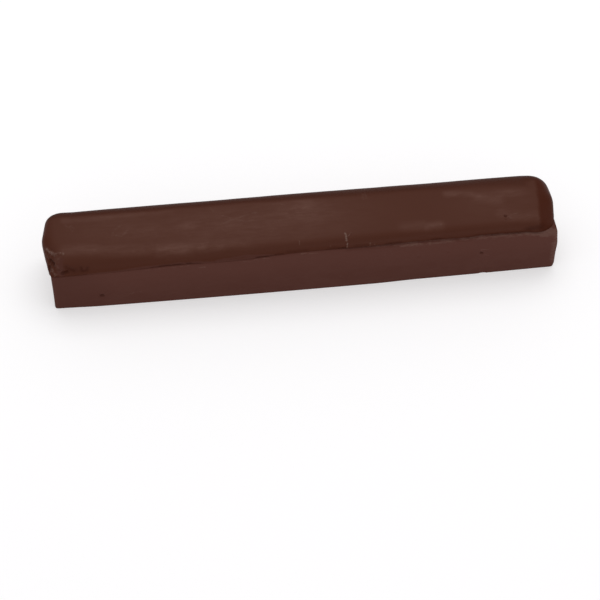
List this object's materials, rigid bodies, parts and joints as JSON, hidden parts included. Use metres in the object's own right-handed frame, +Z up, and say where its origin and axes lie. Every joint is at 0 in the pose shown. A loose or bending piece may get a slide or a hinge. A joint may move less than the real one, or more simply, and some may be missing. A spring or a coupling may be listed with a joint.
{
  "type": "furniture repair wax stick",
  "caption": "Solid bar of dark reddish-brown repair wax with a straight-walled base and a round-shouldered top, for filling scratches and dents in wooden furniture.",
  "frame": {"origin": "middle of the stick's box, on the resting face", "axes": "+X along the stick towards its right end, -Y to the front, +Z up out of the crown"},
  "size_m": [0.14, 0.0208, 0.0196],
  "materials": {
    "lower_wax": "matt wax, as it leaves a mould wall",
    "upper_wax": "smooth wax with a faint hazy bloom"
  },
  "bodies": {
    "root": {"lower_pour": "lower_wax", "upper_pour": "upper_wax"}
  },
  "joints": []
}
